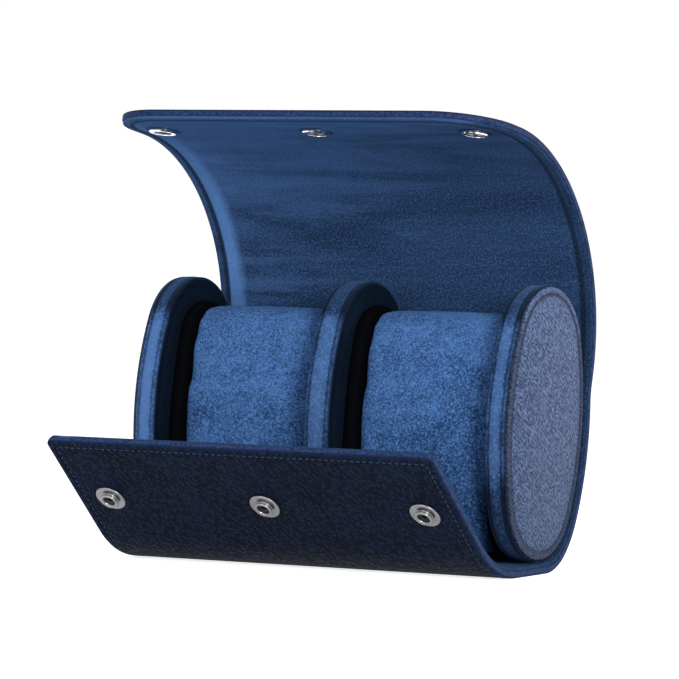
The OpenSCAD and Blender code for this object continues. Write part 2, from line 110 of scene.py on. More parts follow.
def wrap_paths():
    """Arcs (length, turn) up the back and lid, the back's own length, and arcs down the flap."""
    back_r = side_r(PANEL) + BOND + WRAP_T / 2
    back_turn = side_a(PANEL)
    low = math.pi / 2 - back_turn - LEAN
    first = low * FIRST_SHARE
    join_r = PANEL[2] + BOND + WRAP_T / 2
    jy = join_r * math.cos(back_turn + LEAN) - FOOT_BACK
    jz = END_Z - join_r * math.sin(back_turn + LEAN) - WRAP_T / 2
    a = np.array([[math.sin(first), math.sin(low) - math.sin(first)],
                  [1 - math.cos(first), math.cos(first) - math.cos(low)]])
    r1, r2 = np.linalg.solve(a, [jy, jz])
    back = [(r1 * first, first), (r2 * (low - first), low - first),
            (back_r * back_turn, back_turn)]
    back_l = sum(p[0] for p in back)
    spine_turn = SPINE / back_r
    curved = LID_LENGTH - SPINE - LID_FOOT - LID_TIP
    back += [(SPINE - KINK_HALF, spine_turn * (SPINE - KINK_HALF) / SPINE),
             (2 * KINK_HALF, KINK + spine_turn * KINK_HALF / SPINE),
             (LID_FOOT - KINK_HALF, 0.0), (curved, LID_CURL), (LID_TIP, 0.0)]
    flap = [(FLAP_FOOT, 0.0), (FLAP_BEND_R * FLAP_BEND, -FLAP_BEND), (FLAP_TIP, 0.0)]
    return back, back_l, flap


BACK, BACK_L, FLAP = wrap_paths()
FLAP_L = sum(p[0] for p in FLAP)
LID_END = BACK_L + LID_LENGTH


def on_wrap(s):
    """Mid-line point and outward normal angle at a signed distance along the wrap."""
    pieces, h, rest = (BACK, 0.0, s) if s >= 0 else (FLAP, math.pi, -s)
    y, z = FOOT_BACK, WRAP_T / 2
    for k, (length, turn) in enumerate(pieces):
        step = rest if (rest <= length or k == len(pieces) - 1) else length
        t = turn * step / length
        if abs(t) < 1e-6:
            y, z = y + step * math.cos(h), z + step * math.sin(h)
        else:
            r = step / t
            y, z = y + r * (math.sin(h + t) - math.sin(h)), z + r * (math.cos(h) - math.cos(h + t))
        h += t
        rest -= step
        if rest <= 1e-9:
            break
    return y, z, h + (-math.pi / 2 if s >= 0 else math.pi / 2)


def wrap_point(x, s, o):
    """A point of the wrap: x across, s along, o outward from its middle line."""
    y, z, n = on_wrap(s)
    return (x, y + o * math.cos(n), z + o * math.sin(n))


def panel_point(x, u, v):
    """A point of the leaning panels' frame: u is depth, v is height."""
    c, s = math.cos(LEAN), math.sin(LEAN)
    return (x, PANEL_Y + u * c + v * s, PANEL_Z - u * s + v * c)


def oval(q, inset, n_side=22, n_end=34):
    """Points (u, v) of a four-arc oval, counter-clockwise from the front's lower end."""
    big, t, h = side_r(q), side_a(q), q[1] - q[2]
    w = big - q[0]
    out = []
    arcs = (((-w, 0), big - inset, -t, t, n_side),
            ((0, h), q[2] - inset, t, math.pi - t, n_end),
            ((w, 0), big - inset, math.pi - t, math.pi + t, n_side),
            ((0, -h), q[2] - inset, math.pi + t, 2 * math.pi - t, n_end))
    for c, r, a0, a1, n in arcs:
        for i in range(n):
            a = a0 + (a1 - a0) * i / n
            out.append((c[0] + r * math.cos(a), c[1] + r * math.sin(a)))
    return out


# ------------------------------------------------------------- mesh helpers
def srgb(r, g, b):
    """Linear colour of an 8-bit sRGB one."""
    f = lambda c: c / 12.92 if c <= 0.04045 else ((c + 0.055) / 1.055) ** 2.4
    return (f(r / 255), f(g / 255), f(b / 255), 1.0)


def mesh_object(name, verts, faces, mats, face_mats=None, uv=None, rim=None, normals=None):
    """An object from mm vertices. uv and rim are per vertex: rim lightens, or darkens below 0."""
    me = bpy.data.meshes.new(name)
    me.from_pydata([(a * MM, b * MM, c * MM) for a, b, c in verts], [], faces)
    for m in mats:
        me.materials.append(m)
    if face_mats is not None:
        me.polygons.foreach_set("material_index", face_mats)
    me.polygons.foreach_set("use_smooth", [True] * len(me.polygons))
    if uv is not None:
        layer = me.uv_layers.new(name="sheet")
        idx = np.empty(len(me.loops), np.int32)
        me.loops.foreach_get("vertex_index", idx)
        layer.data.foreach_set("uv", np.asarray(uv, np.float32)[idx].ravel())
    values = np.zeros(len(verts), np.float32) if rim is None else np.asarray(rim, np.float32)
    me.attributes.new("rim", "FLOAT", "POINT").data.foreach_set("value", values)
    me.update()
    if normals is not None:
        me.normals_split_custom_set_from_vertices([tuple(n) for n in normals])
    ob = bpy.data.objects.new(name, me)
    bpy.context.scene.collection.objects.link(ob)
    return ob


def vertex_normals(verts, faces):
    """Normals weighted by area, over the whole sheet before it is cut into pieces."""
    v = np.asarray(verts, float)
    n = np.zeros_like(v)
    for f in faces:
        p = v[list(f)]
        c = np.zeros(3)
        for i in range(1, len(f) - 1):
            c += np.cross(p[i] - p[0], p[i + 1] - p[0])
        for i in f:
            n[i] += c
    length = np.linalg.norm(n, axis=1)
    length[length < 1e-12] = 1
    return n / length[:, None]


def capsule(p0, p1, r, up):
    """A short closed tube from p0 to p1 with rounded ends, flattened a little across up."""
    p0, p1, up = (np.asarray(q, float) for q in (p0, p1, up))
    d = p1 - p0
    length = np.linalg.norm(d)
    d /= length
    side = np.cross(d, up)
    side /= np.linalg.norm(side)
    up = np.cross(side, d)
    verts, faces, n = [tuple(p0)], [], 6
    flatten = 0.8
    for t, k in ((0.1, 0.7), (0.28, 1.0), (0.72, 1.0), (0.9, 0.7)):
        for i in range(n):
            a = 2 * math.pi * i / n
            ring = side * math.cos(a) + flatten * up * math.sin(a)
            verts.append(tuple(p0 + d * length * t + r * k * ring))
    verts.append(tuple(p1))
    for i in range(n):
        j = (i + 1) % n
        faces.append((0, 1 + j, 1 + i))
        for k in range(3):
            faces.append((1 + k * n + i, 1 + k * n + j, 1 + (k + 1) * n + j, 1 + (k + 1) * n + i))
        faces.append((1 + 3 * n + i, 1 + 3 * n + j, 1 + 4 * n))
    return verts, faces


def stitch_places(path, length, pitch):
    """Both ends and the middle of stitches that are spread evenly along a path of points."""
    p = np.array(path)
    run = np.concatenate([[0], np.cumsum(np.linalg.norm(np.diff(p, axis=0), axis=1))])
    count = int(run[-1] / pitch)
    out = []
    for k in range(count):
        c = (k + 0.5) * run[-1] / count
        out.append([(np.interp(a, run, p[:, 0]), np.interp(a, run, p[:, 1]))
                    for a in (c - length / 2, c + length / 2, c)])
    return out


def tube_faces(rings, n):
    """The faces between rings of n vertices each."""
    return [(k * n + i, k * n + (i + 1) % n, (k + 1) * n + (i + 1) % n, (k + 1) * n + i)
            for k in range(rings - 1) for i in range(n)]


# ---------------------------------------------------------------- materials
def nodes_of(name):
    """A new material, its node tree and its Principled shader."""
    m = bpy.data.materials.new(name)
    m.use_nodes = True
    t = m.node_tree
    return m, t, t.nodes["Principled BSDF"]


def add(t, kind, props=None, **inputs):
    """A node with its properties and inputs; an underscore in an input's name is a space."""
    n = t.nodes.new(kind)
    for k, v in (props or {}).items():
        setattr(n, k, v)
    for k, v in inputs.items():
        put(t, n.inputs[k.replace("_", " ")], v)
    return n


def put(t, socket, v):
    """Links a socket to another one, or sets its value."""
    if isinstance(v, bpy.types.NodeSocket):
        t.links.new(v, socket)
    else:
        socket.default_value = v


def mix(t, fac, a, b):
    """Colour a at factor 0, colour b at factor 1."""
    n = t.nodes.new("ShaderNodeMix")
    n.data_type = "RGBA"
    put(t, n.inputs[0], fac)
    put(t, n.inputs[6], a)
    put(t, n.inputs[7], b)
    return n.outputs[2]


def calc(t, op, a, b=0.0, clamp=False):
    n = t.nodes.new("ShaderNodeMath")
    n.operation = op
    n.use_clamp = clamp
    put(t, n.inputs[0], a)
    put(t, n.inputs[1], b)
    return n.outputs[0]


def spread(t, value, lo, hi, to_lo=0.0, to_hi=1.0):
    """Maps lo..hi to to_lo..to_hi, clamped."""
    n = add(t, "ShaderNodeMapRange", {"clamp": True})
    put(t, n.inputs["Value"], value)
    for k, v in (("From Min", lo), ("From Max", hi), ("To Min", to_lo), ("To Max", to_hi)):
        n.inputs[k].default_value = v
    return n.outputs["Result"]


def vector_of(t, sheet, scale=(1, 1, 1), turn=(0, 0, 0)):
    """Coordinates in metres: the sheet's own, or the object's, turned and then stretched."""
    if sheet:
        src = add(t, "ShaderNodeUVMap", {"uv_map": "sheet"}).outputs["UV"]
    else:
        src = add(t, "ShaderNodeTexCoord").outputs["Object"]
    for angles, factors in ((turn, (1, 1, 1)), ((0, 0, 0), scale)):
        m = t.nodes.new("ShaderNodeMapping")
        put(t, m.inputs["Vector"], src)
        m.inputs["Rotation"].default_value = [math.radians(a) for a in angles]
        m.inputs["Scale"].default_value = factors
        src = m.outputs["Vector"]
    return src


def noise(t, vec, scale, detail=3.0, rough=0.5, distortion=0.0):
    n = add(t, "ShaderNodeTexNoise", Vector=vec, Scale=scale, Detail=detail, Roughness=rough,
            Distortion=distortion)
    return n.outputs["Fac"]


def measure_along(t, vec, way):
    """How far a point lies along a direction."""
    n = add(t, "ShaderNodeVectorMath", {"operation": "DOT_PRODUCT"})
    put(t, n.inputs[0], vec)
    n.inputs[1].default_value = way
    return n.outputs["Value"]


def below_zero(t, value):
    """The size of a negative value, nought for a positive one."""
    return calc(t, "MULTIPLY", value, -1.0, clamp=True)


def scaled(colour, r, g, b):
    return (colour[0] * r, colour[1] * g, colour[2] * b, 1.0)


def bump(t, height, strength, distance, normal=None):
    b = add(t, "ShaderNodeBump", Strength=strength, Distance=distance, Height=height)
    if normal is not None:
        t.links.new(normal, b.inputs["Normal"])
    return b.outputs["Normal"]


def leather(name, base, light, grain=1.0, sheet=True, rough=0.42, depth=0.00016, wear_and_highlight=None,
            spec=0.5, stretch=(1, 1, 1), turn=(0, 0, 0), wave=0.0012, relief_highlight=0.35, cloudy=0.45,
            ridges=0.0, low_shade=None):
    """Pebbled leather: raised grains with creases between them, lighter along scuffed edges
    and at painted highlights, darker in painted shade.

    grain is the pebbles' size, stretch and turn their lie, wave how they wander, relief how
    much lighter their tops are as a painted highlight, depth their height in metres. ridges
    adds wavy rows of that scale. fade is a range of height in metres over which the colour
    sinks to the base: painted shade, darker towards the bottom. wear is the colour of scuffed
    edges and of painted highlights.
    """
    m, t, p = nodes_of(name)
    vec = vector_of(t, sheet)
    lie = vector_of(t, sheet, stretch, turn)
    wander = add(t, "ShaderNodeTexNoise", Vector=vec, Scale=190.0, Detail=2.0)
    bent = t.nodes.new("ShaderNodeMixRGB")
    bent.blend_type = "LINEAR_LIGHT"
    bent.inputs[0].default_value = wave
    put(t, bent.inputs[1], lie)
    put(t, bent.inputs[2], wander.outputs["Color"])
    pebbles = add(t, "ShaderNodeTexVoronoi", {"feature": "SMOOTH_F1"}, Vector=bent.outputs[0],
                  Scale=760.0 / grain, Smoothness=0.3)
    creases = add(t, "ShaderNodeTexVoronoi", Vector=bent.outputs[0], Scale=1900.0 / grain)
    pores = noise(t, vec, 5200.0, 2.0)
    top = spread(t, pebbles.outputs["Distance"], 0.18, 0.66, 1.0, 0.0)
    if ridges:
        rows = add(t, "ShaderNodeTexWave", {"bands_direction": "Z"},
                   Vector=vector_of(t, sheet, turn=turn), Scale=ridges, Distortion=13.0,
                   Detail=2.0, Detail_Scale=0.7, Detail_Roughness=0.6)
        row_share = 0.4
        top = calc(t, "ADD", calc(t, "MULTIPLY", top, 1 - row_share),
                   calc(t, "MULTIPLY", rows.outputs["Fac"], row_share))
    height = calc(t, "ADD", top, calc(t, "MULTIPLY", creases.outputs["Distance"], -0.35))
    height = calc(t, "ADD", height, calc(t, "MULTIPLY", pores, 0.25))
    cloud = noise(t, vec, 38.0, 3.0, 0.6, 0.4)
    # Painted highlight: the pebbles' tops are painted lighter, by relief
    col = mix(t, calc(t, "MULTIPLY", top, relief_highlight), base, light)
    col = mix(t, spread(t, cloud, 0.35, 0.7, 0.0, cloudy), col, light)
    # Painted shade: fade sinks the colour to the base towards the bottom
    if low_shade:
        col = mix(t, spread(t, measure_along(t, vec, (0, 0.5, 1)), *low_shade), col, base)
    # rim above 0: scuffed edges, and painted highlights on the caps; below 0: painted shade
    rim = add(t, "ShaderNodeAttribute", {"attribute_name": "rim"}).outputs["Fac"]
    wear_and_glint_mottle = spread(t, noise(t, vec, 420.0, 4.0, 0.7), 0.3, 0.62, 0.35, 1.0)
    col = mix(t, calc(t, "MULTIPLY", rim, wear_and_glint_mottle), col, wear_and_highlight or light)
    col = mix(t, below_zero(t, rim), col, scaled(base, 0.3, 0.3, 0.35))
    put(t, p.inputs["Base Color"], col)
    put(t, p.inputs["Roughness"], spread(t, height, -0.2, 1.1, rough + 0.18, rough))
    p.inputs["Specular IOR Level"].default_value = spec
    p.inputs["Specular Tint"].default_value = (0.72, 0.84, 1.0, 1.0)
    broad = bump(t, noise(t, vec, 55.0, 2.0), 0.25, 0.0006)
    put(t, p.inputs["Normal"], bump(t, height, 0.9, depth, broad))
    return m


def suede(name, base, light, dark, sheet=False, streak=(1, 1, 1), streak_scale=26.0, sheen=0.55,
          patch=0.5, fleck=0.45, painted_light_ramp=None, lean=(0, 0, 1), curl=0.0, nap_scale=1250.0,
          strip=None):
    """Suede: short nap with brushed patches, flecks and a soft sheen at grazing angles.

    streak and streak_scale shape the brush strokes, patch and fleck are how strong strokes and
    nap are, curl twists the nap. painted_light_ramp is painted light: a range along lean over
    which the colour turns light. strip is a painted light strip across the sheet: from, to, and
    how light. rim above 0 paints highlight, below 0 shade.
    """
    m, t, p = nodes_of(name)
    vec = vector_of(t, sheet)
    stroke = noise(t, vector_of(t, sheet, streak), streak_scale, 4.0, 0.62, 0.9)
    blotch = noise(t, vec, 120.0, 4.0, 0.65, 0.6)
    nap = noise(t, vec, nap_scale, 4.0, 0.7, 0.3 + curl)
    hair = noise(t, vec, 3600.0, 2.0, 0.6)
    col = mix(t, spread(t, stroke, 0.36, 0.64, 0.0, patch), base, light)
    # Painted light: lighter along lean, over the range painted_light_ramp
    if painted_light_ramp:
        reach = 1.6 * (painted_light_ramp[1] - painted_light_ramp[0])
        uneven = calc(t, "MULTIPLY", calc(t, "SUBTRACT", stroke, 0.5), reach)
        lift = calc(t, "ADD", measure_along(t, vec, lean), uneven)
        col = mix(t, spread(t, lift, *painted_light_ramp), col, light)
    # Painted light: a lighter strip across the sheet
    if strip:
        across = measure_along(t, vec, (1, 0, 0))
        ragged = calc(t, "ADD", across, calc(t, "MULTIPLY", blotch, 0.004))
        outer = spread(t, across, strip[0], strip[0] + 0.0008)
        inner = spread(t, ragged, strip[1], strip[1] + 0.0035, strip[2], 0.0)
        col = mix(t, calc(t, "MULTIPLY", outer, inner), col, scaled(light, 1.6, 1.6, 1.5))
    col = mix(t, spread(t, blotch, 0.40, 0.66, patch * 0.9, 0.0), col, dark)
    col = mix(t, spread(t, nap, 0.49, 0.64, 0.0, fleck), col, light)
    col = mix(t, spread(t, nap, 0.36, 0.50, fleck * 0.75, 0.0), col, dark)
    # Painted highlight where rim is above 0, painted shade where it is below
    rim = add(t, "ShaderNodeAttribute", {"attribute_name": "rim"}).outputs["Fac"]
    col = mix(t, calc(t, "MULTIPLY", rim, 1.0, clamp=True), col, light)
    col = mix(t, below_zero(t, rim), col, scaled(dark, 0.25, 0.25, 0.3))
    put(t, p.inputs["Base Color"], col)
    p.inputs["Roughness"].default_value = 0.95
    p.inputs["Specular IOR Level"].default_value = 0.1
    p.inputs["Sheen Weight"].default_value = sheen
    p.inputs["Sheen Roughness"].default_value = 0.55
    p.inputs["Sheen Tint"].default_value = [min(1, c) for c in scaled(light, 1.9, 1.9, 1.6)]
    height = calc(t, "ADD", nap, calc(t, "MULTIPLY", hair, 0.5))
    soft = bump(t, blotch, 0.3, 0.0009)
    put(t, p.inputs["Normal"], bump(t, height, 0.9, 0.0003, soft))
    return m


def plain(name, base, other, scale, rough, metallic=0.0, bump_depth=0.0, spec=0.5,
          detail=3.0):
    """A finish with fine mottling, for thread, edge paint, board, felt and metal."""
    m, t, p = nodes_of(name)
    vec = vector_of(t, False)
    f = noise(t, vec, scale, detail, 0.6)
    put(t, p.inputs["Base Color"], mix(t, spread(t, f, 0.35, 0.65), base, other))
    put(t, p.inputs["Roughness"], spread(t, f, 0.3, 0.7, rough * 0.85, min(1.0, rough * 1.15)))
    p.inputs["Metallic"].default_value = metallic
    p.inputs["Specular IOR Level"].default_value = spec
    if bump_depth:
        put(t, p.inputs["Normal"], bump(t, f, 0.6, bump_depth))
    return m


LEATHER = leather("wrap_leather", srgb(4, 8, 20), srgb(24, 38, 66), grain=1.3, depth=0.0007,
                  wear_and_highlight=srgb(28, 44, 78), rough=0.52, spec=0.05, stretch=(1.35, 0.8, 1),
                  relief_highlight=0.62, cloudy=0.25)
# The caps' leather takes painted highlights on its grain and border, and painted shade low down
CAP_LEATHER = leather("cap_leather", srgb(18, 32, 64), srgb(118, 142, 188), grain=0.95,
                      sheet=False, depth=0.0012, wear_and_highlight=srgb(80, 102, 146), rough=0.42, spec=0.3,
                      stretch=(1, 1.2, 0.8), turn=(38, 0, 0), wave=0.0016, relief_highlight=0.92,
                      cloudy=0.1, ridges=225.0, low_shade=(0.0, 0.1, 0.34, 0.0))
EDGE = plain("edge_paint", srgb(13, 23, 46), srgb(42, 63, 108), 900.0, 0.6,
             bump_depth=0.00012, spec=0.1)
# Painted light: the lid's lining is lighter towards its top and its left side, and in a strip
# along its left edge
LID_SUEDE = suede("lid_suede", srgb(20, 39, 65), srgb(78, 116, 172), srgb(8, 20, 40), sheet=True,
                  streak=(0.22, 1.5, 1), streak_scale=40.0, sheen=0.15, patch=0.16, fleck=0.45,
                  painted_light_ramp=(0.145, 0.23, 0.0, 0.85), lean=(-0.7, 1, 0),
                  strip=(-0.0762, -0.0695, 0.75))
RIM_SUEDE = suede("rim_suede", srgb(28, 52, 88), srgb(86, 124, 180), srgb(14, 30, 60),
                  streak_scale=60.0, sheen=0.2, patch=0.4, fleck=0.6, nap_scale=950.0)
# Painted light and shade: the cushions are lighter higher up and darker low down
CUSHION_SUEDE = suede("cushion_suede", srgb(22, 52, 92), srgb(88, 132, 194), srgb(8, 26, 58),
                      streak=(0.45, 1, 1), streak_scale=60.0, sheen=0.15, fleck=0.88, patch=0.42,
                      curl=0.5, nap_scale=1250.0, painted_light_ramp=(0.046, 0.076, 0.0, 0.42))
FACING = leather("facing_leather", srgb(8, 16, 28), srgb(18, 31, 48), grain=0.8, sheet=False,
                 depth=0.00006, rough=0.6, spec=0.05)
FELT = plain("pad_felt", srgb(2, 2, 4), srgb(7, 8, 12), 1800.0, 0.95, bump_depth=0.0002,
             spec=0.03, detail=5.0)
THREAD = plain("thread_light", srgb(46, 68, 100), srgb(28, 44, 74), 2600.0, 0.7,
               bump_depth=0.0001, spec=0.2)
THREAD_DARK = plain("thread_dark", srgb(10, 18, 36), srgb(24, 38, 64), 2600.0, 0.75,
                    bump_depth=0.0001, spec=0.2)
CAP_THREAD = plain("cap_thread", srgb(70, 92, 128), srgb(44, 62, 94), 2600.0, 0.7,
                   bump_depth=0.0001, spec=0.2)
STEEL = plain("snap_steel", (0.19, 0.19, 0.2, 1), (0.29, 0.29, 0.3, 1), 90.0, 0.32, metallic=1.0)
BRIGHT_STEEL = plain("socket_steel", (0.78, 0.78, 0.78, 1), (0.88, 0.88, 0.88, 1), 90.0, 0.12,
                     metallic=1.0)
# Painted shade: the posts inside the studs' bores are near black, as shade in the bores
SHADED_POST_STEEL = plain("post_metal_shaded", (0.05, 0.05, 0.055, 1), (0.09, 0.09, 0.1, 1), 200.0, 0.4,
                   metallic=1.0)
BOARD = plain("fibreboard", srgb(120, 104, 84), srgb(150, 134, 110), 300.0, 0.9,
              bump_depth=0.0001, spec=0.1)
BOND_GLUE = plain("bonding", srgb(170, 165, 150), srgb(140, 134, 120), 300.0, 0.8, spec=0.2)

# Finishes of the CAD nodes that stay; the others are hidden or inside
FINISHES = {"snap_studs": STEEL, "snap_caps": STEEL, "snap_sockets": BRIGHT_STEEL,
            "socket_springs": BRIGHT_STEEL, "stud_posts": SHADED_POST_STEEL, "bonding_strips": BOND_GLUE}
for name, ob in NODES.items():
    finish = FINISHES.get(name, BOARD)
    if not ob.material_slots:
        ob.data.materials.append(finish)
    for slot in ob.material_slots:
        slot.material = finish

# ----------------------------------------------------------- wrap's sheets
# The flex hinges' distances up the lid, and the bodies that they join in turn
HINGES = (0.0, 13.0, 33.77, 52.16, 70.55, 89.06, 109.08, 138.1)
BODIES = ("case_base", "lid_spine", "lid_strip_1", "lid_strip_2", "lid_strip_3", "lid_strip_4",
          "lid_strip_5", "lid_strip_6", "lid_tip")
# Where the wrap is cut into pieces, so that each has one hinge
CUTS = [-48.0, 15.0] + [BACK_L + c for c in (6.5, 23.4, 43.0, 61.4, 79.8, 99.0, 123.7)]
# One entry a piece: name, the two bodies, from s to s across its hinge, strips it stands for
SPANS = [("flap_end", "front_flap", "flap_tip", -78.2, -87.0, ["flaptip"]),
         ("flap", "case_base", "front_flap", -8.0, -22.0, ["flap"]),
         ("back", "case_base", "lid_spine", BACK_L - 6.0, BACK_L + 6.0, ["base"])]
for i in range(1, 8):
    h = BACK_L + HINGES[i]
    # The last range ends short, before the sockets, which ride on the tip
    lo, hi = (7.0, 1.5) if i == 7 else (6.2, 6.2)
    strips = {1: ["spine"], 7: ["lid6", "lidtip"]}.get(i, ["lid%d" % (i - 1)])
    SPANS.append(("lid_%d" % i, BODIES[i], BODIES[i + 1], h - lo, h + hi, strips))
# The grid: a square round each snap, half its side and its cells along a side, the columns
# between two squares, the rows' longest cell, the corners' rows, the width of the edge band
SNAP_HALF = 8.0
SNAP_CELLS = 6
WIDE_CELLS = 19
CELL = 2.1
FLAP_CORNER_CELLS = 4
LID_CORNER_CELLS = 12
D_IN = 5.4
X_IN = WRAP_HALF - D_IN
# The flap's first row past its corners
FLAP_FIRST = 5.6
# Painted shade on the walls of the holes for the snaps: how dark they are
HOLE_SHADE = -0.5
# A row that lies on a cut belongs to the piece after it
ROUNDING = 1e-4


def row_list():
    """Rows along the wrap: (kind, value); corners are angles, sides are distances."""
    rows = [("flap", math.pi / 2 * (1 - i / FLAP_CORNER_CELLS))
            for i in range(FLAP_CORNER_CELLS + 1)]
    stud = STUD_FROM_EDGE - FLAP_L
    socket = BACK_L + SOCKET_S - SNAP_HALF
    marks = sorted(CUTS + [FLAP_FIRST - FLAP_L, stud - SNAP_HALF, stud + SNAP_HALF,
                           socket, LID_END - LID_CORNER])
    for a, b in zip(marks[:-1], marks[1:]):
        if a == socket:
            n = SNAP_CELLS // 2
        elif abs(b - a - 2 * SNAP_HALF) < 1e-6:
            n = SNAP_CELLS
        else:
            n = max(1, math.ceil((b - a) / CELL))
        rows += [("side", a + (b - a) * i / n) for i in range(n)]
    rows += [("lid", math.pi / 2 * i / LID_CORNER_CELLS) for i in range(LID_CORNER_CELLS + 1)]
    return rows


ROWS = row_list()


def columns():
    """Places across the wrap, with cells of equal width between the snaps' squares."""
    marks = [-X_IN, -SNAP_X - SNAP_HALF, -SNAP_X + SNAP_HALF, -SNAP_HALF, SNAP_HALF,
             SNAP_X - SNAP_HALF, SNAP_X + SNAP_HALF, X_IN]
    cells = [1, SNAP_CELLS, WIDE_CELLS, SNAP_CELLS, WIDE_CELLS, SNAP_CELLS, 1]
    out = []
    for a, b, n in zip(marks[:-1], marks[1:], cells):
        out += [a + (b - a) * i / n for i in range(n)]
    return out + [X_IN]


COLS = [x / X_IN for x in columns()]


def outline(row, d):
    """x, s and outward direction of the wrap's right outline at an inset d."""
    kind, v = row
    if kind == "side":
        return WRAP_HALF - d, v, (1.0, 0.0)
    if kind == "lid":
        r = LID_CORNER
        return (WRAP_HALF - r + (r - d) * math.cos(v), LID_END - r + (r - d) * math.sin(v),
                (math.cos(v), math.sin(v)))
    m = max(FLAP_CORNER, d)
    q = m - d
    return (WRAP_HALF - m + q * math.cos(v), m - FLAP_L - q * math.sin(v),
            (math.cos(v), -math.sin(v)))


def build_sheet(profile, o_main, holes, rim_of):
    """The whole sheet as one grid: an edge band of (inset, offset) rings, then rows and columns.

    holes are (x, s, rings) with rings of (radius, offset). It gives vertices, faces, each
    face's row and ring, and the vertices' UV in metres and rim.
    """
    verts, uv, rim, faces, band, rows_of = [], [], [], [], [], []

    def vert(x, s, o, extra=0.0, way=(0.0, 0.0), shade=0.0):
        verts.append(wrap_point(x, s, o))
        uv.append(((x + way[0] * extra) * MM, (s + way[1] * extra) * MM))
        rim.append(shade)
        return len(verts) - 1

    m, n = len(ROWS), len(COLS)
    rings = []
    lengths = [0.0]
    for (d0, o0), (d1, o1) in zip(profile[:-1], profile[1:]):
        lengths.append(lengths[-1] + math.hypot(d1 - d0, o1 - o0))
    for k, (d, o) in enumerate(profile):
        # How much longer the band is than it looks from above, so that its UV isn't squeezed
        extra = (lengths[-1] - lengths[k]) - (profile[-1][0] - d)
        shade = rim_of(d, o)
        left, right, top, low = [], [], [], []
        for row in ROWS:
            x, s, way = outline(row, d)
            right.append(vert(x, s, o, extra, way, shade))
            left.append(vert(-x, s, o, extra, (-way[0], way[1]), shade))
        xt, st, _ = outline(ROWS[-1], d)
        xb, sb, _ = outline(ROWS[0], d)
        for u in COLS[1:-1]:
            top.append(vert(u * xt, st, o, extra, (0.0, 1.0), shade))
            low.append(vert(u * xb, sb, o, extra, (0.0, -1.0), shade))
        loop = [(v, i) for i, v in enumerate(left)] + [(v, m - 1) for v in top]
        loop += [(right[i], i) for i in range(m - 1, -1, -1)] + [(v, 0) for v in reversed(low)]
        rings.append((left, right, top, low, loop))
    for k in range(len(rings) - 1):
        a, b = rings[k][4], rings[k + 1][4]
        for i in range(len(a)):
            j = (i + 1) % len(a)
            faces.append((a[i][0], a[j][0], b[j][0], b[i][0]))
            rows_of.append(min(a[i][1], a[j][1], m - 2))
            band.append(k)
    left, right, top, low, _ = rings[-1]
    grid = []
    d = profile[-1][0]
    for i, row in enumerate(ROWS):
        if i == 0:
            line = [left[0]] + low + [right[0]]
        elif i == m - 1:
            line = [left[-1]] + top + [right[-1]]
        else:
            x, s, _ = outline(row, d)
            line = [left[i]] + [vert(u * x, s, o_main) for u in COLS[1:-1]] + [right[i]]
        grid.append(line)
    skip = set()
    for x0, s0, hole_rings in holes:
        sides = [i for i in range(m) if ROWS[i][0] == "side"]
        i0 = min(sides, key=lambda i: abs(ROWS[i][1] - (s0 - SNAP_HALF)))
        j0 = min(range(n), key=lambda j: abs(COLS[j] * X_IN - (x0 - SNAP_HALF)))
        cells = range(SNAP_CELLS)
        skip.update((i0 + i, j0 + j) for i in cells for j in cells)
        edge = [(i0, j0 + j) for j in cells]
        edge += [(i0 + i, j0 + SNAP_CELLS) for i in cells]
        edge += [(i0 + SNAP_CELLS, j0 + SNAP_CELLS - j) for j in cells]
        edge += [(i0 + SNAP_CELLS - i, j0) for i in cells]
        prev = [grid[i][j] for i, j in edge]
        for r, o in hole_rings:
            ring = []
            shade = HOLE_SHADE if o > 0.02 else 0.0
            for q in range(4 * SNAP_CELLS):
                side, f = divmod(q, SNAP_CELLS)
                f = 2 * f / SNAP_CELLS - 1
                dx, ds = ((f, -1), (1, f), (-f, 1), (-1, -f))[side]
                k = r / math.hypot(dx, ds)
                ring.append(vert(x0 + dx * k, s0 + ds * k, o_main + o, shade=shade))
            for q in range(len(ring)):
                w = (q + 1) % len(ring)
                faces.append((prev[q], ring[q], ring[w], prev[w]))
                rows_of.append(i0)
                band.append(len(rings))
            prev = ring
    for i in range(m - 1):
        for j in range(n - 1):
            if (i, j) in skip:
                continue
            faces.append((grid[i][j], grid[i + 1][j], grid[i + 1][j + 1], grid[i][j + 1]))
            rows_of.append(i)
            band.append(len(rings) - 1)
    return verts, faces, rows_of, band, uv, rim


def row_s(i):
    """How far along the wrap a row is; the corners' rows count as the ends."""
    kind, value = ROWS[i]
    return {"side": value, "flap": -FLAP_L, "lid": LID_END}[kind]


def piece_at(s):
    """Which piece a distance along the wrap belongs to."""
    return sum(s >= cut for cut in CUTS)


def stitches(d, o, length, r, pitch):
    """Stitches along the wrap's whole outline at an inset: (s, vertices, faces) of each."""
    right = [outline(row, d)[:2] for row in ROWS]
    left = [(-x, s) for x, s in reversed(right)]
    (x0, s0), (x1, s1) = right[0], right[-1]
    steps = 80
    lid_end = [(x, s1) for x in np.linspace(x1, -x1, steps)[1:-1]]
    flap_end = [(x, s0) for x in np.linspace(-x0, x0, steps)[1:]]
    out = []
    for q0, q1, middle in stitch_places(right + lid_end + left + flap_end, length, pitch):
        n = on_wrap(q0[1])[2]
        up = (0.0, math.cos(n), math.sin(n))
        out.append((middle[1],) + capsule(wrap_point(*q0, o), wrap_point(*q1, o), r, up))
    return out


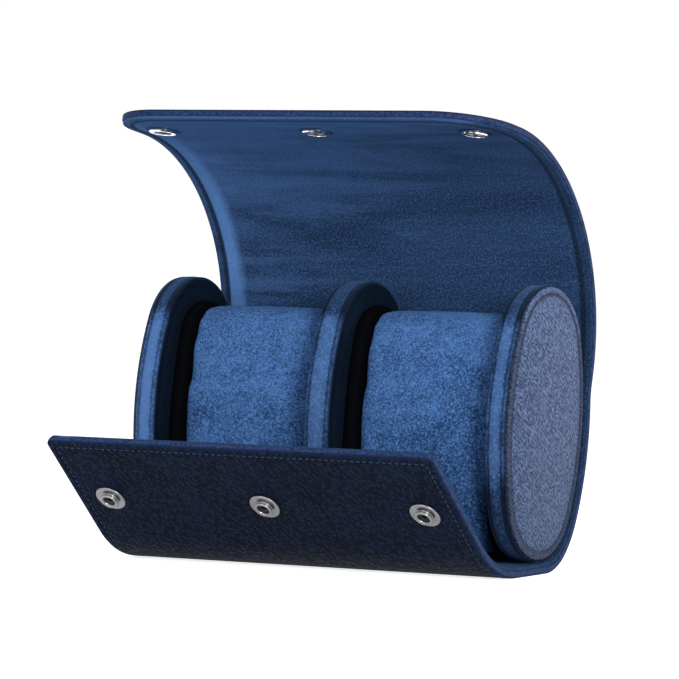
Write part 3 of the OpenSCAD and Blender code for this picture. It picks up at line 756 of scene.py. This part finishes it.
def wrap_pieces(kind, profile, o_main, holes, mats, edge_rings, rim_of, stitch_mat,
                stitch_list, suffix):
    """One sheet of the wrap, cut into pieces that each hold one hinge.

    The normals are the whole sheet's, so that no seam shows. edge_rings are those of the edge
    band that take the second material. suffix names the layers of the CAD strips.
    """
    verts, faces, rows_of, band, uv, rim = build_sheet(profile, o_main, holes, rim_of)
    normals = vertex_normals(verts, faces)
    middle = len(faces) // 2
    row = rows_of[middle]
    ang = on_wrap(0.5 * (row_s(row) + row_s(row + 1)))[2]
    outward = np.array([0, math.cos(ang), math.sin(ang)]) * (1 if o_main > 0 else -1)
    if np.dot(normals[faces[middle][0]], outward) < 0:
        faces = [tuple(reversed(f)) for f in faces]
        normals = -normals
    for k, (name, a, b, s_from, s_to, strips) in enumerate(SPANS):
        keep = [f for f, r in enumerate(rows_of) if piece_at(row_s(r) + ROUNDING) == k]
        used, v2, f2, fm, uv2, rim2, n2 = {}, [], [], [], [], [], []
        for f in keep:
            ids = []
            for v in faces[f]:
                if v not in used:
                    used[v] = len(v2)
                    v2.append(verts[v])
                    uv2.append(uv[v])
                    rim2.append(rim[v])
                    n2.append(normals[v])
                ids.append(used[v])
            f2.append(tuple(ids))
            fm.append(1 if band[f] in edge_rings else 0)
        for s, sv, sf in stitch_list:
            if piece_at(s) == k:
                base = len(v2)
                v2 += sv
                uv2 += [(q[0] * MM, s * MM) for q in sv]
                rim2 += [0.0] * len(sv)
                n2 += list(vertex_normals(sv, sf))
                f2 += [tuple(base + i for i in f) for f in sf]
                fm += [2] * len(sf)
        ob = mesh_object("%s_%s" % (name, kind), v2, f2, [mats[0], mats[1], stitch_mat], fm,
                         uv2, rim2, n2)
        for strip in strips:
            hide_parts(*["%s_%s" % (strip, layer) for layer in suffix])
        p0, p1 = (Vector(wrap_point(0, s, 0)) * MM for s in (s_from, s_to))
        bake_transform(ob)


def leather_rim(d, o):
    """Light along the leather's scuffed edge; the groove of the stitches is painted dark as shade.
    """
    if d < 0.01:
        return 0.9
    if d < 0.4:
        return 0.85 if o > 0 else 0.4
    if d < 0.8:
        return 0.4
    if 3.0 < d < 3.8:
        return -0.8
    return 0.0


def suede_rim(d, o):
    """The lining's border is a little darker, and its groove is painted dark as shade."""
    if 2.9 < d < 4.9:
        return -0.75
    if d < 2.9:
        return -0.35 if d < 1.0 else -0.3
    return 0.0


# Edge bands: inset from the outline and offset from the wrap's middle line, from the edge in
LEATHER_PROFILE = [(1.6, O_BOARD), (0.3, O_BOARD), (0.04, O_BOARD + 0.2), (0.0, O_BOARD + 0.6),
                   (0.0, O_OUT - 0.7), (0.1, O_OUT - 0.3), (0.32, O_OUT - 0.08), (0.75, O_OUT),
                   (1.7, O_OUT + 0.03), (2.7, O_OUT), (3.1, O_OUT - 0.12), (3.4, O_OUT - 0.2),
                   (3.7, O_OUT - 0.12), (4.2, O_OUT), (D_IN, O_OUT)]
SUEDE_PROFILE = [(0.5, O_BOARD), (0.4, O_BOARD - 0.2), (0.4, O_IN + 0.45), (0.5, O_IN + 0.15),
                 (0.8, O_IN), (2.4, O_IN - 0.04), (3.3, O_IN - 0.02), (3.65, O_IN + 0.14),
                 (3.9, O_IN + 0.22), (4.15, O_IN + 0.14), (4.5, O_IN - 0.02), (D_IN, O_IN)]
STUD_S = STUD_FROM_EDGE - FLAP_L
# The lining's holes: radius, and how far the ring is sunk
SOCKET_RINGS = [(7.2, 0.0), (6.3, 0.03), (5.8, 0.14), (5.45, 0.4), (5.3, 1.0)]
POST_RINGS = [(6.6, 0.0), (5.6, 0.03), (5.1, 0.14), (4.75, 0.4), (4.6, 1.0)]
STITCH_LENGTH = 1.9
STITCH_PITCH = 2.6
suede_holes = [(x, BACK_L + SOCKET_S, SOCKET_RINGS) for x in (-SNAP_X, 0.0, SNAP_X)]
suede_holes += [(x, STUD_S, POST_RINGS) for x in (-SNAP_X, 0.0, SNAP_X)]

wrap_pieces("skin", LEATHER_PROFILE, O_OUT, [], (LEATHER, EDGE), (1, 2, 3), leather_rim, THREAD,
            stitches(3.4, O_OUT - 0.1, STITCH_LENGTH, 0.27, STITCH_PITCH),
            ("leather", "board"))
wrap_pieces("lining", SUEDE_PROFILE, O_IN, suede_holes, (LID_SUEDE, LID_SUEDE), (), suede_rim,
            THREAD_DARK, stitches(3.9, O_IN + 0.12, STITCH_LENGTH, 0.25, STITCH_PITCH),
            ("lining",))


# ------------------------------------------------------------------ panels
DOME_RINGS = 14


def oval_piece(name, q, rings, place, mats, rim=None, cap_first=False, cap_last=True,
               n_side=22, n_end=34, flip=False, tone=None):
    """A loft through ovals, each (inset, x), in a frame given by place(x, u, v).

    rim has a shade for each ring, and tone(ring, u, v) adds to it.
    """
    verts, shades = [], []
    for k, (inset, x) in enumerate(rings):
        for u, v in oval(q, inset, n_side, n_end):
            verts.append(place(x, u, v))
            shades.append((rim[k] if rim else 0.0) + (tone(k, u, v) if tone else 0.0))
    n = 2 * (n_side + n_end)
    faces = tube_faces(len(rings), n)
    if cap_last:
        faces.append(tuple((len(rings) - 1) * n + i for i in range(n)))
    if cap_first:
        faces.append(tuple(reversed(range(n))))
    if flip:
        faces = [tuple(reversed(f)) for f in faces]
    return mesh_object(name, verts, faces, mats, rim=shades)


def join_into(ob, parts, index):
    """Adds (vertices, faces) in mm to an object's mesh with a material index."""
    bm = bmesh.new()
    bm.from_mesh(ob.data)
    for verts, faces in parts:
        vs = [bm.verts.new((a * MM, b * MM, c * MM)) for a, b, c in verts]
        for f in faces:
            face = bm.faces.new([vs[i] for i in f])
            face.material_index = index
            face.smooth = True
    bm.to_mesh(ob.data)
    bm.free()
    ob.data.update()


def oval_stitches(q, inset, x, length, r, pitch, up):
    """Stitches round an oval of the panels: (vertices, faces) of each."""
    path = oval(q, inset, 60, 90)
    return [capsule(panel_point(x, *q0), panel_point(x, *q1), r, up)
            for q0, q1, _ in stitch_places(path + path[:1], length, pitch)]


def cap_rings(side):
    """An end panel's leather: the sewn border with its groove, then the dome."""
    rings = [(0.35, 0.0), (0.3, 0.5), (0.36, 0.85), (0.6, 1.12), (1.1, 1.26), (1.8, 1.3),
             (2.5, 1.24), (2.9, 1.14), (3.15, 1.02), (3.4, 1.12), (3.8, 1.28), (4.3, 1.5)]
    d0, h0 = rings[-1]
    d1, dome, roundness = 22.4, 1.6, 2.6
    for i in range(1, DOME_RINGS + 1):
        t = i / DOME_RINGS
        rings.append((d0 + (d1 - d0) * t, h0 + dome * (1 - (1 - t) ** roundness)))
    return [(d, side * (END_SKIN_X + h)) for d, h in rings]


def rim_rings(x0, x1):
    """A panel's suede band from x0 to x1: a seam near either edge, and a slight swell."""
    swell = 0.12
    r = [(1.1, 0.1), (0.5, 0.02), (0.2, 0.1), (0.04, 0.35), (0.0, 0.8), (0.02, 1.15), (0.2, 1.4),
         (0.02, 1.65), (-0.04, 2.2), (-swell, (x1 - x0) / 2)]
    left = [(d, x0 + x) for d, x in r]
    right = [(d, x1 - x) for d, x in reversed(r[:-1])]
    return left + right


# Painted shade and highlight of the rings: dark in the grooves and at the edges, light in the
# middle
RIM_SHADE = [-0.9, -0.85, -0.6, -0.4, -0.35, -0.6, -0.9, -0.3, 0.15, 0.3]
RIM_SHADE += RIM_SHADE[-2::-1]
# The caps' rings: painted shade in the gap at the band and in the groove of the stitches,
# a darker border, and a painted highlight where the dome starts
CAP_SHADE = [-0.9, -0.85, -0.75, -0.7, -0.6, -0.6, -0.85, -0.97, -0.97, -0.9, -0.3, 0.3]
CAP_SHADE += [0.0] * (DOME_RINGS + 1)


def step(x, lo, hi):
    """A smooth step from nought at lo to one at hi."""
    t = min(1.0, max(0.0, (x - lo) / (hi - lo)))
    return t * t * (3 - 2 * t)


def band_light_and_shade(lightest, top=(31.0, 38.0)):
    """Painted light and shade: the band is painted light down its front and dark over its top and
    foot.
    """
    def tone(k, u, v):
        front = step(-u, 2.0, 14.0) * step(v, -30.0, -14.0) * (1 - step(v, *top))
        return lightest * front - 0.72 * (1 - front)
    return tone


def cap_tone(k, u, v):
    """The sewn border catches the light over the top of the panel."""
    return 1.1 * step(v, 28.0, 44.0) if 3 <= k <= 5 else 0.0


# The facings: inset and height, with the pressed line of the border
FACE_RINGS = [(1.15, 0.0), (1.15, 0.6), (1.25, 0.85), (1.6, 0.98), (2.4, 1.0), (3.3, 0.98),
              (3.6, 0.8), (3.95, 0.66), (4.3, 0.8), (4.7, 0.98), (8.0, 1.0), (14.0, 1.0),
              (22.0, 1.0)]
FACING_T = 1.0

for side, sign in (("left", -1), ("right", 1)):
    cap = oval_piece(side + "_cap", PANEL, cap_rings(sign), panel_point,
                     [CAP_LEATHER, CAP_THREAD], rim=CAP_SHADE, flip=sign < 0, tone=cap_tone)
    thread = oval_stitches(PANEL, 3.15, sign * (END_SKIN_X + 1.06), 0.95, 0.2, 1.7, (sign, 0, 0))
    join_into(cap, thread, 1)
    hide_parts(side + "_end_leather", side + "_end_padding")
    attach(cap, "case_base")
    a, b = sorted((sign * END_INNER_X, sign * END_SKIN_X))
    band = oval_piece(side + "_rim_band", PANEL, rim_rings(a, b), panel_point, [RIM_SUEDE],
                      rim=RIM_SHADE, cap_last=False, tone=band_light_and_shade(0.4 if sign < 0 else 0.08))
    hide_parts(side + "_end_rim")
    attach(band, "case_base")
    rings = [(d, sign * (END_INNER_X + FACING_T - h)) for d, h in FACE_RINGS]
    plate = oval_piece(side + "_inner_facing", PANEL, rings, panel_point, [FACING],
                       flip=sign > 0)
    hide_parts(side + "_end_facing")
    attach(plate, "case_base")
    rings = [(d, sign * (CENTRE_X - FACING_T + h)) for d, h in FACE_RINGS]
    plate = oval_piece("centre_%s_face" % side, PANEL, rings, panel_point, [FACING],
                       flip=sign < 0)
    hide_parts("centre_%s_facing" % side)
    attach(plate, "case_base")

band = oval_piece("centre_rim_band", PANEL, rim_rings(-CENTRE_X, CENTRE_X), panel_point,
                  [RIM_SUEDE], rim=RIM_SHADE, cap_last=False, tone=band_light_and_shade(0.1, (34.0, 36.5)))
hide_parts("centre_rim")
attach(band, "case_base")


# ------------------------------------------------------------------- snaps
def lathe_at(profile, x, s, o0):
    """A turned ring on the wrap's outer side: profile is (radius, height) in mm."""
    n = 48
    y, z, ang = on_wrap(s)
    out = np.array((0.0, math.cos(ang), math.sin(ang)))
    side = np.array((1.0, 0.0, 0.0))
    along = np.cross(out, side)
    base = np.array((x, y, z)) + out * o0
    verts = []
    for r, h in profile:
        for i in range(n):
            a = 2 * math.pi * i / n
            verts.append(tuple(base + out * h + r * (side * math.cos(a) + along * math.sin(a))))
    return verts, tube_faces(len(profile), n)


# A stud from outside in: flange, neck, the bead that the socket's spring holds, and the bore
STUD_SHAPE = [(5.75, 0.0), (5.85, 0.14), (5.82, 0.34), (5.6, 0.5), (5.2, 0.57), (4.2, 0.56),
              (3.4, 0.57), (3.05, 0.64), (2.98, 0.85), (2.98, 1.32), (3.12, 1.46), (3.42, 1.58),
              (3.56, 1.7), (3.56, 1.88), (3.42, 2.08), (3.12, 2.19), (2.78, 2.17), (2.48, 2.02),
              (2.3, 1.75), (2.22, 1.3), (2.22, 0.35)]
verts, faces = [], []
for x in (-SNAP_X, 0.0, SNAP_X):
    v, f = lathe_at(STUD_SHAPE, x, STUD_S, O_OUT)
    faces += [tuple(len(verts) + i for i in q) for q in f]
    verts += v
studs = mesh_object("stud_rings", verts, faces, [STEEL])
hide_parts("snap_studs")
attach(studs, "front_flap")


# ---------------------------------------------------------------- cushions
# How far a sleeve may swell, in metres
SWELL = 0.0014


def cushion_point(x, u, v):
    """A point of the panels' frame, moved to the cushions' middle."""
    return panel_point(x, u, v + CUSHION_V)


def inflate(ob, limit):
    """Blows the sleeve up with Cloth, keeps every point within a limit, and subdivides once."""
    bpy.context.view_layer.objects.active = ob
    ob.select_set(True)
    remesh = ob.modifiers.new("remesh", "REMESH")
    remesh.mode = "VOXEL"
    remesh.voxel_size = 0.004
    bpy.ops.object.modifier_apply(modifier=remesh.name)
    start = np.empty(len(ob.data.vertices) * 3)
    ob.data.vertices.foreach_get("co", start)
    cloth = ob.modifiers.new("cloth", "CLOTH")
    s = cloth.settings
    s.quality = 5
    s.mass = 0.3
    s.use_pressure = True
    s.uniform_pressure_force = 4.0
    s.tension_stiffness = 12
    s.compression_stiffness = 12
    s.shear_stiffness = 5
    s.bending_stiffness = 0.6
    s.effector_weights.gravity = 0.0
    cloth.collision_settings.use_collision = False
    cloth.collision_settings.use_self_collision = False
    frames = 20
    cloth.point_cache.frame_start = 1
    cloth.point_cache.frame_end = frames
    scene = bpy.context.scene
    for f in range(1, frames + 1):
        scene.frame_set(f)
    bpy.ops.object.modifier_apply(modifier=cloth.name)
    scene.frame_set(1)
    end = np.empty_like(start)
    ob.data.vertices.foreach_get("co", end)
    move = (end - start).reshape(-1, 3)
    length = np.linalg.norm(move, axis=1)
    keep = limit * np.tanh(length / limit) / np.maximum(length, 1e-9)
    ob.data.vertices.foreach_set("co", (start.reshape(-1, 3) + move * keep[:, None]).ravel())
    sub = ob.modifiers.new("subdivide", "SUBSURF")
    sub.levels = 1
    sub.render_levels = 1
    bpy.ops.object.modifier_apply(modifier=sub.name)
    for p in ob.data.polygons:
        p.use_smooth = True
    ob.select_set(False)


def sleeve(sign):
    """A cushion's suede before it is blown up; room is what the swelling needs."""
    room = 0.9
    a, b = CUSHION_X[0] + PAD_T, CUSHION_X[1] - PAD_T
    rings = [(5.0, 0.25), (2.6, 0.3), (1.5, 0.6), (1.05, 1.4), (0.9, 3.0), (0.8, 6.0),
             (0.65, 12.0), (0.55, 20.0)]
    line = [(d, a + x) for d, x in rings] + [(0.5, (a + b) / 2)]
    line += [(d, b - x) for d, x in reversed(rings)]
    line = [(d + room, sign * x) for d, x in line]
    return oval_piece("left_sleeve" if sign < 0 else "right_sleeve", CUSHION, line, cushion_point,
                      [CUSHION_SUEDE], cap_first=True, n_side=14, n_end=18, flip=sign < 0)


def pad(sign, x0, x1, name):
    """A black pad at a cushion's end, with rounded edges."""
    room, edge = 0.3, 1.8
    r = [(4.0, 0.0), (1.2, 0.05), (0.5, 0.3), (0.15, 0.9), (0.0, edge)]
    line = [(d, x0 + x) for d, x in r] + [(0.0, x1 - edge)]
    line += [(d, x1 - x) for d, x in reversed(r[:-1])]
    line = [(d + room, sign * x) for d, x in line]
    return oval_piece(name, CUSHION, line, cushion_point, [FELT], cap_first=True, flip=sign < 0)


for side, sign in (("left", -1), ("right", 1)):
    cover = sleeve(sign)
    inflate(cover, SWELL)
    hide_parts(side + "_cushion_cover", side + "_cushion_foam")
    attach(cover, side + "_cushion")
    for tag, x0 in (("inner", CUSHION_X[0]), ("outer", CUSHION_X[1] - PAD_T)):
        p = pad(sign, x0, x0 + PAD_T, "%s_%s_pad" % (side, tag))
        if tag == "inner":
            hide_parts(side + "_cushion_pads")
        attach(p, side + "_cushion")


# -------------------------------------------------------- stage, light, camera
def ray_sees(t):
    """One for rays that see the surface, nought for those that only take light from it."""
    rays = add(t, "ShaderNodeLightPath")
    either = calc(t, "MAXIMUM", rays.outputs["Is Camera Ray"], rays.outputs["Is Glossy Ray"])
    return calc(t, "MAXIMUM", either, rays.outputs["Is Transmission Ray"])


# The floor looks white, keeps its shadows, and sheds only a little blue light on the object
FLOOR_GLOW = 0.76
FLOOR_HALF = 6
floor_mat, t, p = nodes_of("floor")
out = t.nodes["Material Output"]
seen = ray_sees(t)
p.inputs["Base Color"].default_value = (0.8, 0.8, 0.8, 1)
p.inputs["Roughness"].default_value = 0.9
p.inputs["Specular IOR Level"].default_value = 0.1
glow = add(t, "ShaderNodeEmission")
glow.inputs["Color"].default_value = (1, 1, 1, 1)
glow.inputs["Strength"].default_value = FLOOR_GLOW
lit = t.nodes.new("ShaderNodeAddShader")
t.links.new(p.outputs[0], lit.inputs[0])
t.links.new(glow.outputs[0], lit.inputs[1])
dim = add(t, "ShaderNodeBsdfDiffuse")
dim.inputs["Color"].default_value = (0.48, 0.5, 0.54, 1)
pick = t.nodes.new("ShaderNodeMixShader")
t.links.new(seen, pick.inputs[0])
t.links.new(dim.outputs[0], pick.inputs[1])
t.links.new(lit.outputs[0], pick.inputs[2])
t.links.new(pick.outputs[0], out.inputs["Surface"])
me = bpy.data.meshes.new("floor")
corners = [(x * FLOOR_HALF, y * FLOOR_HALF, 0) for x, y in ((-1, -1), (1, -1), (1, 1), (-1, 1))]
me.from_pydata(corners, [], [(0, 1, 2, 3)])
me.materials.append(floor_mat)
floor = bpy.data.objects.new("floor", me)
bpy.context.scene.collection.objects.link(floor)

# The world is white to look at, and a weaker blue as light
SKY = 0.42
world = bpy.data.worlds.new("world")
bpy.context.scene.world = world
world.use_nodes = True
w = world.node_tree
bg = w.nodes["Background"]
white = w.nodes.new("ShaderNodeBackground")
white.inputs["Color"].default_value = (1, 1, 1, 1)
white.inputs["Strength"].default_value = 1.0
bg.inputs["Color"].default_value = (0.86, 0.92, 1.0, 1)
bg.inputs["Strength"].default_value = SKY
choose = w.nodes.new("ShaderNodeMixShader")
w.links.new(ray_sees(w), choose.inputs[0])
w.links.new(bg.outputs[0], choose.inputs[1])
w.links.new(white.outputs[0], choose.inputs[2])
w.links.new(choose.outputs[0], w.nodes["World Output"].inputs["Surface"])


def area(name, at, aim, size, watts, colour=(1, 1, 1)):
    """A rectangular light at a place in metres, turned to its aim."""
    d = bpy.data.lights.new(name, "AREA")
    d.shape = "RECTANGLE"
    d.size, d.size_y = size
    d.energy = watts
    d.color = colour
    ob = bpy.data.objects.new(name, d)
    ob.location = at
    ob.rotation_euler = (Vector(aim) - Vector(at)).to_track_quat("-Z", "Y").to_euler()
    bpy.context.scene.collection.objects.link(ob)


area("key", (1.0, -0.88, 0.38), (0, 0, 0.08), (0.35, 0.35), 14.5)
area("fill", (-0.1, -1.25, 0.26), (0, 0, 0.08), (0.8, 0.4), 4.5, (0.94, 0.97, 1.0))
area("top", (0.0, -0.1, 1.1), (0, 0, 0.1), (1.2, 1.2), 4.0)
area("edge", (1.0, 0.55, 0.4), (0.08, 0, 0.08), (0.4, 0.4), 4.0)

# The photograph's camera: direction, distance in mm from the panels' centre, pixels per mm
# there, that centre's place in the picture, and the picture's width in pixels
AZ, EL, ROLL = math.radians(30.332), math.radians(3.209), math.radians(-0.55)
DIST, SCALE, CX, CY = 1743.4, 2.704, 356.103, 415.39
PHOTO = 679.0
SENSOR = 36.0
toward = Vector((math.sin(AZ) * math.cos(EL), -math.cos(AZ) * math.cos(EL), math.sin(EL)))
right = Vector((math.cos(AZ), math.sin(AZ), 0))
up = toward.cross(right)
target = Vector((0, PANEL_Y, PANEL_Z))
focal = SCALE * DIST
dx, dy = PHOTO / 2 - CX, CY - PHOTO / 2
px = dx * math.cos(ROLL) + dy * math.sin(ROLL)
py = -dx * math.sin(ROLL) + dy * math.cos(ROLL)
look = (-toward + right * (px / focal) + up * (py / focal)).normalized()
cam_up = right * math.sin(ROLL) + up * math.cos(ROLL)
back = -look
cam_right = cam_up.cross(back).normalized()
cam_up = back.cross(cam_right)
place = target + toward * DIST
data = bpy.data.cameras.new("camera")
data.sensor_width = SENSOR
data.lens = focal / PHOTO * SENSOR
data.clip_end = 50.0
cam = bpy.data.objects.new("camera", data)
m = Matrix((cam_right, cam_up, back)).transposed().to_4x4()
m.translation = place * MM
cam.matrix_world = m
bpy.context.scene.collection.objects.link(cam)
bpy.context.scene.camera = cam
bpy.context.scene.view_settings.view_transform = "Standard"
